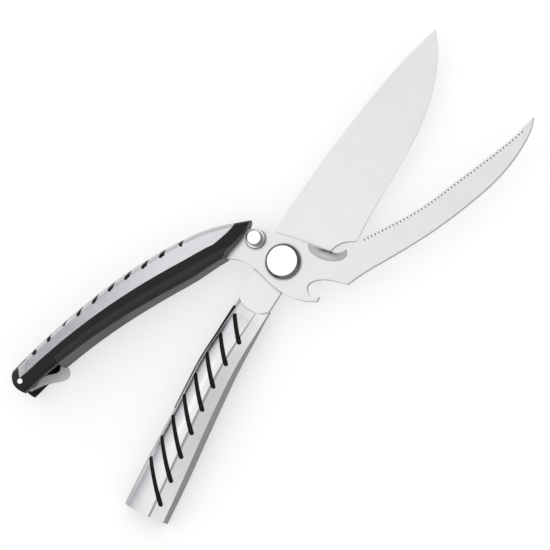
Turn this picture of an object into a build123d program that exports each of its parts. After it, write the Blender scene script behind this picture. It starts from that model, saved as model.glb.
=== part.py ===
from build123d import *
from math import acos, atan2, cos, degrees, radians, sin
import os

# Kitchen shears, standing open at the angle of their opening stop.
# Origin: on the pivot axis, at the flat rear face of the pivot bolt's head.
# +Y runs from the pivot to the knife tip, +Z from the bolt head to the cap. Millimetres.

# Opening
open_angle = 28.0

# Stack along the pivot axis
bolt_head_height = 2.4
plate_thickness = 2.8
washer_thickness = 0.4
cap_height = 3.1

# Fits
fit = 0.05
overrun = 1.0
soft_gap = 0.1

# Knife half
knife_length = 128.8
knife_width = 34.0
tang_width = 16.6
tang_neck = 27.6
tang_lobe = 4.6
inner_tang_width = 8.0
inner_tang_length = 48.0
inner_tang_shift = 4.2
bevel_width = 6.5
edge_thickness = 0.5

# Serrated half
serrated_length = 132.6
serrated_width = 24.0
tooth_count = 48
tooth_radius = 1.0
tooth_depth = 0.62

# Pivot
bolt_head_radius = 6.0
bolt_head_bevel = 0.4
bolt_radius = 3.0
key_radius = 3.6
key_half_width = 2.9
cap_base_radius = 8.2
cap_top_radius = 7.1
cap_rim_height = 1.5
cap_top_thickness = 1.0
cap_wall = 1.2
cap_boss_radius = 3.9
washer_radius = 8.0
spring_wire = 0.7
spring_turns = 1.5
spring_radius = 5.45
spring_leg = 1.6
spring_tip = 0.35

# Release button
button_x = -16.0
button_y = -6.15
button_radius = 3.6
button_height = 4.4
button_bevel = 0.45
button_skirt = 1.9
button_pocket_radius = 2.9
collar_radius = 4.65
collar_height = 1.2
collar_bevel = 0.35
stem_radius = 1.5
stop_ring_radius = 3.0
stop_ring_height = 2.6
button_travel = 3.15
button_web = 1.2
button_wire = 0.4
button_turns = 3.5
button_spring_radius = 2.3
lug_radius = 15.3
lug_span = 9.0
lug_gap = 0.1
lug_depth = 4.0

# Handles
handle_reach = 137.5
handle_bow = 33.7
handle_depth = 19.3
handle_half_width = 10.8
station_steps = 3
cover_thickness = 1.2
inlay_thickness = 1.0
inlay_half_width = 5.4
rib_recess = 0.4
slot_width = 2.0
slot_angle = 45.0
upper_slot_count = 10
lower_slot_count = 8
rivet_radius = 1.5
rivet_reach = 1.5
lower_slot_start = -37.6
lower_slot_pitch = 11.3
upper_slot_start = -34.2
upper_slot_pitch = 9.3
lower_shift = 8.6
lower_rise = 13.5

# Latch
latch_rivet_x = -11.6
latch_rivet_y = -133.4
latch_rivet_radius = 1.1
latch_head_radius = 1.4
latch_head_height = 0.35
latch_thickness = 2.0
latch_length = 19.7
latch_width = 6.6
latch_top = 0.6
latch_gap = 0.25
latch_hub_radius = 2.4
catch_pin_radius = 1.25
catch_pin_length = 7.0
catch_angle = -80.0
latch_washer_radius = 2.2
recess_height = 15.0

# Bevels, teeth and handle sections, as shares
knife_bevel_shares = [0.1, 0.7, 1, 1, 1, 1, 1]
upper_mouth_shares = [
    (-0.950, -0.012), (-0.709, -0.0365), (-0.630, -0.066), (-0.545, -0.117), (-0.470, -0.163), (-0.300, -0.176),
]
upper_end_shares = [(-0.640, -0.972), (-0.415, -0.997), (-0.148, -0.970)]
tail_shares = [(-0.900, -0.901), (-0.356, -0.954), (0.300, -0.985)]
cover_front_shares = [
    (-1.100, -0.030), (-0.880, -0.064), (-0.780, -0.092), (-0.715, -0.133), (-0.668, -0.180),
    (-0.640, -0.230), (-0.580, -0.290),
]
recess_shares = [
    (-0.291, -1.100), (-0.291, -0.956), (-0.341, -0.931), (-0.386, -0.907), (-0.410, -0.873),
    (-0.404, -0.833), (0.100, -0.833), (0.100, -1.100),
]
latch_slot_shares = [(-0.425, -1.100), (-0.425, -0.925), (-0.415, -0.800), (0.100, -0.800), (0.100, -1.100)]
tang_rivet_shares = (0.35, 0.75)
grip_end_share = 0.830
upper_rivet_shares = (0.40, 0.75)
lower_end_shares = [(-0.407, -0.970), (0.930, -0.9645), (2.279, -0.949)]
slot_reach_share = 0.55
slot_growth_share = 0.17
upper_slot_reach_share = 0.48
lever_back_shares = [
    (-0.10, 0.10), (-0.005, 0.259), (-0.02, 0.431), (0.005, 0.543), (0.041, 0.660),
    (0.051, 0.751), (0.020, 0.817), (-0.046, 0.868), (-0.051, 0.934),
]
lever_front_shares = [
    (-0.051, 0.934), (0.016, 0.982), (0.112, 0.995), (0.198, 0.970), (0.269, 0.894),
    (0.284, 0.787), (0.238, 0.614), (0.152, 0.30), (0.135, 0.06),
]
catch_place_share = (0.036, 0.685)
tooth_start_share = 0.08
tooth_run_share = 0.84
crown_depth_share = 0.19
cover_depth_share = 0.55
wall_depth_share = 0.78
crown_width_share = 0.60
edge_width_share = 0.94
crease_inset_share = 0.5
crease_drop_share = 0.5
corner_share = 0.18
round_share = 0.293
left_crown_share = 0.20
left_crease_share = 0.72
apex_shift_share = 0.05
right_crown_share = 0.03
right_crease_share = 0.38
step_share = 0.055
shoulder_depth_share = 0.27
wall_top_share = 0.6
lower_wall_depth_share = 0.82

# Stations of the handle of the serrated half: place, crown line, depth, width
upper_station_shares = [
    (0.029, 0.748, 0.684, 0.510), (0.160, 0.932, 0.850, 0.667), (0.291, 0.997, 1.000, 0.741),
    (0.436, 0.997, 0.984, 0.787), (0.582, 0.947, 0.917, 0.824), (0.727, 0.852, 0.834, 0.880),
    (0.873, 0.724, 0.777, 0.944), (1.000, 0.582, 0.741, 1.000),
]
# Stations of the handle of the knife half: place, middle line, crown height, depth, width
lower_station_shares = [
    (0.131, -0.221, 0.407, 0.223, 0.760), (0.204, -0.221, 0.444, 0.290, 0.770),
    (0.262, -0.186, 0.637, 0.487, 0.796), (0.335, -0.151, 0.815, 0.684, 0.815),
    (0.436, -0.087, 0.948, 0.850, 0.875), (0.611, 0.233, 1.000, 0.948, 0.917),
    (0.800, 0.558, 0.874, 0.891, 1.009), (0.985, 0.855, 0.607, 0.715, 1.037),
]

# Heights that follow from the stack
knife_base = bolt_head_height
knife_top = knife_base + plate_thickness
front_base = knife_top + washer_thickness
front_top = front_base + plate_thickness
cap_base = front_top + fit
cap_top = cap_base + cap_height
cap_roof = cap_top - cap_top_thickness
front_middle = front_base + plate_thickness / 2

# Frame of the serrated half: turned clockwise by the opening angle
front_x = Vector(cos(radians(open_angle)), -sin(radians(open_angle)), 0)
front_y = Vector(sin(radians(open_angle)), cos(radians(open_angle)), 0)
up = Vector(0, 0, 1)


def front_point(x, y, z):
    return front_x * x + front_y * y + up * z


def front_level(z):
    """Flat plane of the serrated half at a height."""
    return Plane(origin=up * z, x_dir=front_x, z_dir=up)


def scaled(shares, width, length):
    """Outline points from shares of a width and a length."""
    return [(x_share * width, y_share * length) for x_share, y_share in shares]


# Knife outline as shares of the knife's width and length
belly_shares = [
    (0.009, 1.0), (0.215, 0.930), (0.420, 0.818), (0.541, 0.705),
    (0.608, 0.570), (0.635, 0.383), (0.685, 0.205),
]
spine_shares = [(0.009, 1.0), (-0.115, 0.863), (-0.259, 0.599), (-0.324, 0.387), (-0.359, 0.163)]
heel_start_share = (0.447, 0.110)
heel_middle_share = (0.515, 0.168)
heel_end_share = (0.650, 0.196)
boss_middle_share = (0.395, -0.012)
boss_end_share = (0.180, -0.096)
shoulder_share = (-0.345, 0.020)
tang_left_share = (-0.320, -0.100)

knife_belly = scaled(belly_shares, knife_width, knife_length)
knife_spine = scaled(spine_shares, knife_width, knife_length)
heel_start, heel_middle, heel_end, boss_middle, boss_end, shoulder, tang_left = scaled(
    [
        heel_start_share, heel_middle_share, heel_end_share, boss_middle_share,
        boss_end_share, shoulder_share, tang_left_share,
    ],
    knife_width,
    knife_length,
)

# Tang of the knife half, on a middle line a little left of the pivot
tang_middle = -2.2
tang_edge = -(tang_neck - tang_lobe)
tang_right = (tang_middle + tang_width / 2, tang_edge)
tang_corner = (tang_middle - tang_width / 2, tang_edge)
lobe_bottom = (tang_middle, -tang_neck)
tang_tip = -(tang_neck + inner_tang_length)
tang_tip_middle = tang_middle + inner_tang_shift
knife_tang = [
    (tang_middle - inner_tang_width / 2, tang_edge),
    (tang_middle + inner_tang_width / 2, tang_edge),
    (tang_tip_middle + inner_tang_width / 2, tang_tip),
    (tang_tip_middle - inner_tang_width / 2, tang_tip),
]

# Serrated blade outline as shares of its width and length
serrated_edge_shares = [
    (0.380, 0.222), (0.396, 0.343), (0.427, 0.450), (0.410, 0.540),
    (0.342, 0.640), (0.240, 0.795), (0.102, 0.939), (0.017, 1.0),
]
serrated_back_shares = [
    (0.017, 1.0), (0.160, 0.978), (0.335, 0.935), (0.635, 0.822), (0.846, 0.658),
    (0.950, 0.502), (0.979, 0.330), (0.988, 0.207), (1.020, 0.158),
]
notch_shares = [
    (1.020, 0.158), (0.787, 0.115), (0.645, 0.071), (0.640, 0.036), (0.754, 0.0233), (0.954, 0.0505),
]
hook_tip_share = (1.004, 0.036)
hook_under_shares = [
    (1.004, 0.036), (0.858, -0.005), (0.617, -0.044), (0.379, -0.067), (-0.017, -0.090), (-0.538, -0.1455),
]
root_shares = [
    (-0.538, -0.1455), (-0.725, -0.196), (-0.875, -0.215), (-1.012, -0.076), (-0.800, -0.0283),
]
upper_edge_shares = [(-0.800, -0.0283), (-0.396, 0.056), (-0.042, 0.111), (0.292, 0.163)]
bone_notch_share = (0.400, 0.190)
front_tang_middle_shares = [(-0.940, -0.120), (-1.030, -0.530)]

serrated_edge = scaled(serrated_edge_shares, serrated_width, serrated_length)
serrated_back = scaled(serrated_back_shares, serrated_width, serrated_length)
notch = scaled(notch_shares, serrated_width, serrated_length)
hook_under = scaled(hook_under_shares, serrated_width, serrated_length)
root = scaled(root_shares, serrated_width, serrated_length)
upper_edge = scaled(upper_edge_shares, serrated_width, serrated_length)
hook_tip, bone_notch = scaled([hook_tip_share, bone_notch_share], serrated_width, serrated_length)
tang_start, tang_end = scaled(front_tang_middle_shares, serrated_width, serrated_length)
front_tang = [
    (tang_start[0] - inner_tang_width / 2, tang_start[1]),
    (tang_start[0] + inner_tang_width / 2, tang_start[1]),
    (tang_end[0] + inner_tang_width / 2, tang_end[1]),
    (tang_end[0] - inner_tang_width / 2, tang_end[1]),
]

# Rivets of both tangs
lower_rivet_places = [
    (tang_middle + inner_tang_shift * share, -tang_neck - inner_tang_length * share)
    for share in tang_rivet_shares
]
upper_rivet_places = [
    (
        tang_start[0] + (tang_end[0] - tang_start[0]) * share,
        tang_start[1] + (tang_end[1] - tang_start[1]) * share,
    )
    for share in upper_rivet_shares
]

# Lug that meets the stop ring at the opening stop
button_reach = (button_x**2 + button_y**2) ** 0.5
button_angle = degrees(atan2(button_y, button_x))
contact = stop_ring_radius + lug_gap
lug_turn = degrees(
    acos((button_reach**2 + lug_radius**2 - contact**2) / (2 * button_reach * lug_radius))
)
lug_start = button_angle - open_angle - lug_turn
lug_end = lug_start - lug_span


def polar(radius, angle):
    return (radius * cos(radians(angle)), radius * sin(radians(angle)))


def key_profile(plane, clearance):
    """Round with two flats, by which the bolt is held in the knife plate."""
    with BuildSketch(plane) as profile:
        Circle(key_radius + clearance)
        Rectangle(
            2 * (key_half_width + clearance), 2 * (key_radius + clearance), mode=Mode.INTERSECT
        )
    return profile.sketch


def ground_bevel(edge_points, bevel_shares, plane_at, height, depth, width, side):
    """Wedge to cut along an edge, from nothing at its inner line to the full depth at the edge."""
    with BuildPart() as wedge:
        for (edge_x, edge_y), share in zip(edge_points, bevel_shares):
            inner = edge_x - side * width * share
            outer = edge_x + side * overrun
            reach = depth * (outer - inner) / (edge_x - inner)
            with BuildSketch(plane_at(edge_y)):
                with BuildLine():
                    Polyline((inner, height), (outer, height), (outer, height + reach), close=True)
                make_face()
        loft()
    return wedge.part


def knife_section(y):
    return Plane(origin=(0, y, 0), x_dir=(1, 0, 0), z_dir=(0, -1, 0))


def round_holes(plane, places, radius):
    with BuildSketch(plane) as holes:
        with Locations(*places):
            Circle(radius)
    return holes.sketch


# Knife blade with its boss, stop lug and tang
with BuildPart() as knife_blade:
    with BuildSketch(Plane.XY.offset(knife_base)):
        with BuildLine():
            Spline(*knife_belly)
            Line(knife_belly[-1], heel_end)
            ThreePointArc(heel_end, heel_middle, heel_start)
            ThreePointArc(heel_start, boss_middle, boss_end)
            Line(boss_end, tang_right)
            ThreePointArc(tang_right, lobe_bottom, tang_corner)
            Line(tang_corner, tang_left)
            Line(tang_left, shoulder)
            Line(shoulder, knife_spine[-1])
            Spline(*knife_spine)
        make_face()
        with BuildLine():
            Polyline(*knife_tang, close=True)
        make_face()
        with BuildLine():
            lug_root = polar(lug_radius - lug_depth, lug_start), polar(lug_radius - lug_depth, lug_end)
            Line(lug_root[0], polar(lug_radius, lug_start))
            CenterArc((0, 0), lug_radius, lug_start, -lug_span)
            Line(polar(lug_radius, lug_end), lug_root[1])
            Line(lug_root[1], lug_root[0])
        make_face()
    extrude(amount=plate_thickness)
    extrude(key_profile(Plane.XY, fit), amount=knife_top + overrun, mode=Mode.SUBTRACT)
    extrude(
        round_holes(Plane.XY, lower_rivet_places, rivet_radius),
        amount=knife_top + overrun,
        mode=Mode.SUBTRACT,
    )
    add(
        ground_bevel(
            knife_belly, knife_bevel_shares, knife_section, knife_base,
            plate_thickness - edge_thickness, bevel_width, 1,
        ),
        mode=Mode.SUBTRACT,
    )

# Pivot bolt: flat rear head, flats in the knife plate, plain shank
with BuildPart() as pivot_bolt:
    with BuildSketch(Plane.XY):
        Circle(bolt_head_radius)
    extrude(amount=bolt_head_height)
    chamfer(pivot_bolt.edges().group_by(Axis.Z)[0], bolt_head_bevel)
    extrude(key_profile(Plane.XY.offset(bolt_head_height), 0), amount=plate_thickness)
    with BuildSketch(Plane.XY.offset(knife_top)):
        Circle(bolt_radius)
    extrude(amount=cap_top - cap_top_thickness - fit - knife_top)

# Thrust washer between the two plates
with BuildPart() as thrust_washer:
    with BuildSketch(Plane.XY.offset(knife_top)):
        Circle(washer_radius)
        Circle(key_radius, mode=Mode.SUBTRACT)
    extrude(amount=washer_thickness - fit)

# Pivot cap, hollow round its threaded boss for the opening spring
with BuildPart() as pivot_cap:
    with BuildSketch(Plane.XZ):
        with BuildLine():
            Polyline(
                (0, cap_top),
                (cap_top_radius, cap_top),
                (cap_base_radius, cap_base + cap_rim_height),
                (cap_base_radius, cap_base),
                (cap_base_radius - cap_wall, cap_base),
                (cap_base_radius - cap_wall, cap_roof),
                (cap_boss_radius, cap_roof),
                (cap_boss_radius, cap_base),
                (bolt_radius + fit, cap_base),
                (bolt_radius + fit, cap_roof),
                (0, cap_roof),
                close=True,
            )
        make_face()
    revolve(axis=Axis.Z)
    with BuildSketch(Plane.XY.offset(cap_roof)):
        with Locations(polar(spring_radius, 360 * spring_turns)):
            Circle(spring_wire / 2 + fit)
    extrude(amount=cap_top_thickness / 2, mode=Mode.SUBTRACT)

# Opening spring under the cap: one leg in the cap's roof, the other in the serrated plate
spring_base = cap_base + spring_wire / 2 + soft_gap
spring_rise = cap_roof - spring_wire / 2 - soft_gap - spring_base
with BuildPart() as torsion_spring:
    with BuildLine():
        coil = Helix(
            pitch=spring_rise / spring_turns,
            height=spring_rise,
            radius=spring_radius,
            center=(0, 0, spring_base),
        )
    with BuildSketch(Plane(origin=coil @ 0, z_dir=coil % 0)):
        Circle(spring_wire / 2)
    sweep(is_frenet=True)
    with Locations(coil @ 0, coil @ 1):
        Sphere(spring_wire / 2)
    with BuildSketch(Plane(origin=coil @ 0)):
        Circle(spring_wire / 2)
    extrude(amount=-(spring_base - front_top + spring_leg))
    with BuildSketch(Plane(origin=coil @ 1)):
        Circle(spring_wire / 2)
    extrude(amount=cap_roof + spring_tip - (coil @ 1).Z)

# Serrated blade with its teeth, bone notch, bottle-opener hook and tang
with BuildPart() as serrated_blade:
    with BuildSketch(front_level(front_base)):
        with BuildLine():
            edge_line = Spline(*serrated_edge)
            Spline(*serrated_back)
            Spline(*notch)
            Line(notch[-1], hook_tip)
            Spline(*hook_under)
            Polyline(*root)
            Spline(*upper_edge)
            ThreePointArc(upper_edge[-1], bone_notch, serrated_edge[0])
        make_face()
        with BuildLine():
            Polyline(*front_tang, close=True)
        make_face()
        for number in range(tooth_count):
            place = edge_line @ (tooth_start_share + tooth_run_share * number / (tooth_count - 1))
            across = (edge_line % (tooth_start_share + tooth_run_share * number / (tooth_count - 1))).rotate(
                Axis.Z, 90
            )
            with Locations(place + across * (tooth_radius - tooth_depth)):
                Circle(tooth_radius, mode=Mode.SUBTRACT)
    extrude(amount=plate_thickness)
    with BuildSketch(front_level(0)):
        Circle(bolt_radius + fit)
        with Locations((button_x, button_y)):
            Circle(stem_radius + fit)
        with Locations(*upper_rivet_places):
            Circle(rivet_radius)
    extrude(amount=front_top + overrun, mode=Mode.SUBTRACT)
    with BuildSketch(front_level(front_base + button_web)):
        with Locations((button_x, button_y)):
            Circle(button_radius + fit)
    extrude(amount=plate_thickness, mode=Mode.SUBTRACT)
    with BuildSketch(Plane(origin=(coil @ 0).X * Vector(1, 0, 0) + up * (front_top - spring_leg - soft_gap))):
        Circle(spring_wire / 2 + fit)
    extrude(amount=plate_thickness, mode=Mode.SUBTRACT)

# Release button: plunger head and stem
button_top = front_top + button_height
button_base = front_base + button_web + fit + button_travel
with BuildPart() as release_button:
    with BuildSketch(front_level(button_base)):
        with Locations((button_x, button_y)):
            Circle(button_radius)
            Circle(button_pocket_radius, mode=Mode.SUBTRACT)
    extrude(amount=button_skirt)
    with BuildSketch(front_level(button_base + button_skirt)):
        with Locations((button_x, button_y)):
            Circle(button_radius)
    extrude(amount=button_top - button_base - button_skirt)
    with BuildSketch(front_level(front_base - fit - stop_ring_height)):
        with Locations((button_x, button_y)):
            Circle(stem_radius)
    extrude(amount=button_base + button_skirt - front_base + fit + stop_ring_height)
    chamfer(release_button.edges().group_by(Axis.Z)[-1], button_bevel)

# Stop ring pressed on the stem
with BuildPart() as stop_ring:
    with BuildSketch(front_level(front_base - fit - stop_ring_height)):
        with Locations((button_x, button_y)):
            Circle(stop_ring_radius)
            Circle(stem_radius, mode=Mode.SUBTRACT)
    extrude(amount=stop_ring_height)

# Collar round the button, pressed on the plate
with BuildPart() as button_collar:
    with BuildSketch(front_level(front_top)):
        with Locations((button_x, button_y)):
            Circle(collar_radius)
            Circle(button_radius + fit, mode=Mode.SUBTRACT)
    extrude(amount=collar_height)
    chamfer(button_collar.edges().group_by(Axis.Z)[-1].sort_by(SortBy.RADIUS)[-1], collar_bevel)

# Coil spring under the button
button_spring_low = front_base + button_web + button_wire / 2 + fit
button_spring_high = button_base + button_skirt - button_wire / 2 - fit
with BuildPart() as button_spring:
    with BuildLine(front_level(button_spring_low)):
        button_coil = Helix(
            pitch=(button_spring_high - button_spring_low) / button_turns,
            height=button_spring_high - button_spring_low,
            radius=button_spring_radius,
            center=(button_x, button_y, 0),
        )
    with BuildSketch(Plane(origin=button_coil @ 0, z_dir=button_coil % 0)):
        Circle(button_wire / 2)
    sweep(is_frenet=True)


def handle_section(plane, depth, half_width, inset):
    """Closed section of the serrated half's handle: crown, flanks, walls and rounded inner side, drawn in by an inset."""
    crown = depth * crown_depth_share + inset * crease_drop_share
    flank = depth * cover_depth_share
    crease = half_width * crown_width_share - inset * crease_inset_share
    edge = half_width * edge_width_share - inset
    wall = half_width - inset
    corner = depth * corner_share
    bottom = -(depth - inset)
    with BuildSketch(plane) as profile:
        with BuildLine():
            ThreePointArc((-crown, -crease), (-inset, 0), (-crown, crease))
            Line((-crown, crease), (-flank, edge))
            Line((-flank, edge), (bottom + corner, wall))
            ThreePointArc(
                (bottom + corner, wall),
                (bottom + corner * round_share, wall - corner * round_share),
                (bottom, wall - corner),
            )
            Line((bottom, wall - corner), (bottom, -(wall - corner)))
            ThreePointArc(
                (bottom, -(wall - corner)),
                (bottom + corner * round_share, -(wall - corner * round_share)),
                (bottom + corner, -wall),
            )
            Line((bottom + corner, -wall), (-flank, -edge))
            Line((-flank, -edge), (-crown, -crease))
        make_face()
    return profile.sketch


def lower_section(plane, depth, half_width, inset):
    """Closed section of the knife half's handle: a crown that ends in a step, a flank, and a high wall on the right."""
    left_crown = depth * left_crown_share + inset * crease_drop_share
    left_crease = half_width * left_crease_share - inset * crease_inset_share
    left_flank = min(depth * cover_depth_share, (depth - inset) * wall_top_share)
    left_edge = half_width * edge_width_share - inset
    right_crown = depth * right_crown_share + inset
    right_crease = half_width * right_crease_share - inset * crease_inset_share
    step = depth * step_share
    shoulder_depth = min(
        depth * shoulder_depth_share + inset * crease_drop_share, (depth - inset) * wall_top_share
    )
    wall = half_width - inset
    corner = depth * corner_share
    bottom = -(depth - inset)
    with BuildSketch(plane) as profile:
        with BuildLine():
            ThreePointArc(
                (-left_crown, -left_crease),
                (-inset, -half_width * apex_shift_share),
                (-right_crown, right_crease),
            )
            Line((-right_crown, right_crease), (-right_crown - step, right_crease + step))
            Line((-right_crown - step, right_crease + step), (-shoulder_depth, wall))
            Line((-shoulder_depth, wall), (bottom + corner, wall))
            ThreePointArc(
                (bottom + corner, wall),
                (bottom + corner * round_share, wall - corner * round_share),
                (bottom, wall - corner),
            )
            Line((bottom, wall - corner), (bottom, -(wall - corner)))
            ThreePointArc(
                (bottom, -(wall - corner)),
                (bottom + corner * round_share, -(wall - corner * round_share)),
                (bottom + corner, -wall),
            )
            Line((bottom + corner, -wall), (-left_flank, -left_edge))
            Line((-left_flank, -left_edge), (-left_crown, -left_crease))
        make_face()
    return profile.sketch


def upper_plane(y, apex):
    """Section plane of the serrated half's handle: local x points away from the other handle."""
    return Plane(origin=front_point(apex, y, front_middle), x_dir=front_x * -1, z_dir=front_y)


def lower_plane(y, middle, apex):
    """Section plane of the knife half's handle: local x points up."""
    return Plane(origin=(middle, y, apex), x_dir=(0, 0, 1), z_dir=(0, 1, 0))


def blended(rows):
    """Rows of shares with smooth rows between them, each column following its neighbours."""
    full = []
    for number in range(len(rows) - 1):
        before = rows[max(number - 1, 0)]
        start, end = rows[number], rows[number + 1]
        after = rows[min(number + 2, len(rows) - 1)]
        for step in range(station_steps):
            turn = step / station_steps
            full.append(
                [
                    b + turn * (c - a + turn * (2 * a - 5 * b + 4 * c - d + turn * (3 * (b - c) + d - a))) / 2
                    for a, b, c, d in zip(before, start, end, after)
                ]
            )
    return [*full, rows[-1]]


def upper_form(inset, first=0):
    """Whole handle of the serrated half, drawn in by an inset, from its first station on."""
    sections = []
    for y_share, apex_share, depth_share, width_share in blended(upper_station_shares)[first:]:
        plane = upper_plane(-handle_reach * y_share, -handle_bow * apex_share)
        depth = handle_depth * depth_share
        sections.append(handle_section(plane, depth, handle_half_width * width_share, inset))
    with BuildPart() as form:
        loft(sections=sections, ruled=True)
    return form.part


def lower_form(inset, first=0):
    """Whole handle of the knife half, drawn in by an inset, from its first station on."""
    sections = []
    for y_share, middle_share, apex_share, depth_share, width_share in blended(lower_station_shares)[first:]:
        plane = lower_plane(
            -handle_reach * y_share, lower_shift * middle_share, lower_rise * apex_share
        )
        depth = handle_depth * depth_share
        sections.append(lower_section(plane, depth, handle_half_width * width_share, inset))
    with BuildPart() as form:
        loft(sections=sections, ruled=True)
    return form.part


def zone(plane, points, amount, both=False):
    """Block with a drawn outline, used to keep or cut a stretch of a form."""
    with BuildPart() as block:
        with BuildSketch(plane):
            with BuildLine():
                Polyline(*points, close=True)
            make_face()
        extrude(amount=amount, both=both)
    return block.part


# Rows of real places: along the handle, across it, crown height, depth and half width
lower_rows = [
    (
        -handle_reach * y_share,
        lower_shift * middle_share,
        lower_rise * apex_share,
        handle_depth * depth_share,
        handle_half_width * width_share,
    )
    for y_share, middle_share, apex_share, depth_share, width_share in blended(lower_station_shares)
]
upper_rows = [
    (
        -handle_reach * y_share,
        -handle_bow * apex_share,
        handle_depth * depth_share,
        handle_half_width * width_share,
    )
    for y_share, apex_share, depth_share, width_share in blended(upper_station_shares)
]
far = handle_reach


def row_at(rows, y):
    """Row of a handle at a place along it."""
    for start, end in zip(rows, rows[1:]):
        if end[0] <= y <= start[0]:
            turn = (y - start[0]) / (end[0] - start[0])
            return [a + (b - a) * turn for a, b in zip(start, end)]
    return rows[-1]


def band(plane, line, side, amount):
    """Block on one side of a smooth line, wide enough to reach past the handle."""
    start, end = Vector(*line[0]), Vector(*line[-1])
    with BuildPart() as block:
        with BuildSketch(plane):
            with BuildLine():
                Polyline(*line, end + Vector(*side), start + Vector(*side), close=True)
            make_face()
        extrude(amount=amount, both=True)
    return block.part


lower_side = Plane.YZ
upper_side = front_level(front_middle)
lower_cover_line = [(row[0], row[2] - row[3] * cover_depth_share) for row in lower_rows]
lower_grip_line = [(row[0], row[2] - row[3] * lower_wall_depth_share) for row in lower_rows]
lower_crease_line = [(row[1] + row[4] * right_crease_share, row[0]) for row in lower_rows]
upper_cover_line = [(row[1] + row[2] * cover_depth_share, row[0]) for row in upper_rows]
upper_grip_line = [(row[1] + row[2] * wall_depth_share, row[0]) for row in upper_rows]
lower_crown_zone = band(lower_side, lower_cover_line, (0, handle_depth), handle_bow)
with BuildPart() as lower_cover_zone:
    add(band(lower_side, lower_grip_line, (0, handle_depth), handle_bow))
    add(band(Plane.XY, lower_crease_line, (handle_depth, 0), handle_bow), mode=Mode.INTERSECT)
    add(lower_crown_zone)
lower_grip_zone = band(lower_side, lower_grip_line, (0, -handle_depth), handle_bow)
upper_cover_zone = band(upper_side, upper_cover_line, (-handle_depth, 0), handle_bow)
upper_grip_zone = band(upper_side, upper_grip_line, (handle_depth, 0), handle_bow)


def lower_slots(width):
    """Diagonal slots over the crown of the knife half's handle."""
    with BuildSketch() as pattern:
        for number in range(lower_slot_count):
            y = lower_slot_start - lower_slot_pitch * number
            middle, half_width = row_at(lower_rows, y)[1], row_at(lower_rows, y)[4]
            reach = half_width * (slot_reach_share + slot_growth_share * number / lower_slot_count)
            with Locations((middle, y)):
                SlotCenterToCenter(2 * reach / cos(radians(slot_angle)), width, rotation=-slot_angle)
    return extrude(pattern.sketch, amount=lower_rise + overrun)


def upper_slots(width):
    """Diagonal slots over the crown of the serrated half's handle."""
    plane = Plane(origin=front_point(0, 0, front_middle), x_dir=front_y, z_dir=front_x * -1)
    with BuildSketch(plane) as pattern:
        for number in range(upper_slot_count):
            y = upper_slot_start - upper_slot_pitch * number
            reach = row_at(upper_rows, y)[3] * upper_slot_reach_share
            with Locations((y, 0)):
                SlotCenterToCenter(2 * reach / cos(radians(slot_angle)), width, rotation=slot_angle)
    return extrude(pattern.sketch, amount=handle_bow + overrun)


# Latch: lever, its rivet and the catch pin's place when the handles are shut
latch_base = latch_top - latch_thickness
latch_middle = latch_top - latch_thickness / 2
latch_centre = Vector(latch_rivet_x, latch_rivet_y, 0)
lever_back = [
    (latch_rivet_x + x_share * latch_length, latch_rivet_y + y_share * latch_length)
    for x_share, y_share in lever_back_shares
]
lever_front = [
    (latch_rivet_x + x_share * latch_length, latch_rivet_y + y_share * latch_length)
    for x_share, y_share in lever_front_shares
]
catch_reach = Vector(
    catch_place_share[0] * latch_length - catch_pin_radius - soft_gap,
    catch_place_share[1] * latch_length,
    0,
)
catch_place = latch_centre + catch_reach.rotate(Axis.Z, catch_angle)


# Handle of the knife half: whole form, cut off at its mouth and its end
lower_fit_arc = [(x, y - fit) for x, y in (tang_corner, lobe_bottom, tang_right)]
lower_end_arc = scaled(lower_end_shares, lower_shift, handle_reach)
with BuildPart() as lower_tang_pocket:
    with BuildSketch(Plane.XY.offset(knife_base - fit)):
        with BuildLine():
            Polyline(*knife_tang, close=True)
        make_face()
        offset(amount=fit, kind=Kind.INTERSECTION)
    extrude(amount=plate_thickness + 2 * fit)

with BuildPart() as lower_body:
    add(lower_form(0))
    with BuildSketch(Plane.XY.offset(-far)):
        with BuildLine():
            ThreePointArc(*lower_fit_arc)
            Polyline(
                lower_fit_arc[2], (far, lower_fit_arc[2][1]), (far, far), (-far, far),
                (-far, lower_fit_arc[0][1]), lower_fit_arc[0],
            )
        make_face()
    extrude(amount=2 * far, mode=Mode.SUBTRACT)
    with BuildSketch(Plane.XY.offset(-far)):
        with BuildLine():
            ThreePointArc(*lower_end_arc)
            Polyline(
                lower_end_arc[2], (far, lower_end_arc[2][1]), (far, -2 * far), (-far, -2 * far),
                (-far, lower_end_arc[0][1]), lower_end_arc[0],
            )
        make_face()
    extrude(amount=2 * far, mode=Mode.SUBTRACT)

with BuildPart() as lower_shell:
    add(lower_body.part)
    add(lower_cover_zone.part, mode=Mode.INTERSECT)
    add(lower_form(cover_thickness), mode=Mode.SUBTRACT)

# Catch pin across the latch slot in the handle's end
latch_slot_base = latch_base - latch_gap
latch_slot_height = latch_thickness + 2 * latch_gap
with BuildPart() as catch_pin:
    with BuildSketch(Plane.XY.offset(latch_middle - catch_pin_length / 2)):
        with Locations(catch_place):
            Circle(catch_pin_radius)
    extrude(amount=catch_pin_length)
with BuildPart() as catch_slot:
    with BuildSketch(Plane.XY.offset(latch_slot_base)):
        with Locations(catch_place + Vector(0, catch_pin_radius, 0)):
            Rectangle(far, far, align=(Align.MAX, Align.MAX))
            with Locations((latch_width + latch_gap, 0)):
                Rectangle(2 * latch_width, far, align=(Align.MAX, Align.MAX))
    extrude(amount=latch_slot_height)

# Steel cover of the knife half's handle
with BuildPart() as lower_handle_cover:
    add(lower_shell.part)
    add(lower_tang_pocket.part, mode=Mode.SUBTRACT)
    add(lower_slots(slot_width), mode=Mode.SUBTRACT)
    add(catch_slot.part, mode=Mode.SUBTRACT)
    add(catch_pin.part, mode=Mode.SUBTRACT)

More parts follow.
